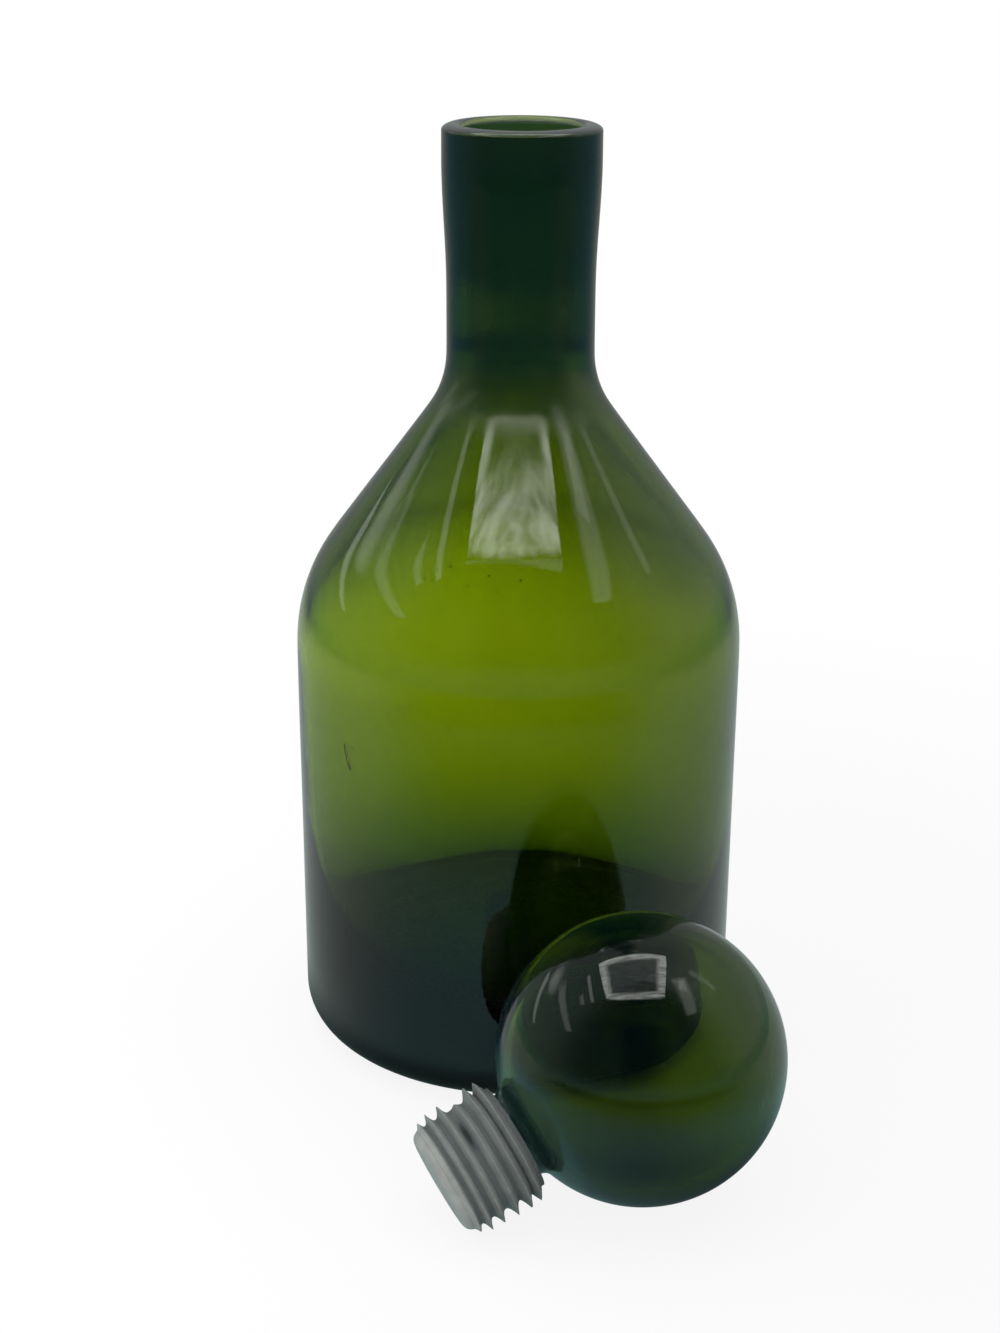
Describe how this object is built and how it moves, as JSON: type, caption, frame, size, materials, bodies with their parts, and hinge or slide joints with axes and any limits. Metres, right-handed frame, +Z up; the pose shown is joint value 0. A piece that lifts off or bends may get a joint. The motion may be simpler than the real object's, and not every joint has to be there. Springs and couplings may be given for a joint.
{
  "type": "decanter",
  "caption": "Green blown-glass decanter with a cylindrical body, conical shoulder and straight neck, its hollow ball stopper with a finned seal lying beside it.",
  "frame": {"origin": "centre of the bottle's flat base, on the table", "axes": "+Z up along the bottle's axis; the stopper lies on the -Y side, its seal pointing towards -X"},
  "size_m": [0.1104, 0.1674, 0.22],
  "materials": {
    "green_glass": "glossy hand-blown glass, olive green where thin and near black where thick",
    "seal_plastic": "translucent whitish polyethylene, satin"
  },
  "bodies": {
    "bottle": {"bottle": "green_glass"},
    "stopper": {"stopper_ball": "green_glass", "seal_sleeve": "seal_plastic"}
  },
  "joints": [
    {"name": "stopper_tip", "type": "hinge", "parent": "bottle", "child": "stopper", "pos_m": [-0.01228, -0.09879, 0], "axis": [0.3778, -0.9259, 0], "range_deg": [0, 66.09]}
  ]
}
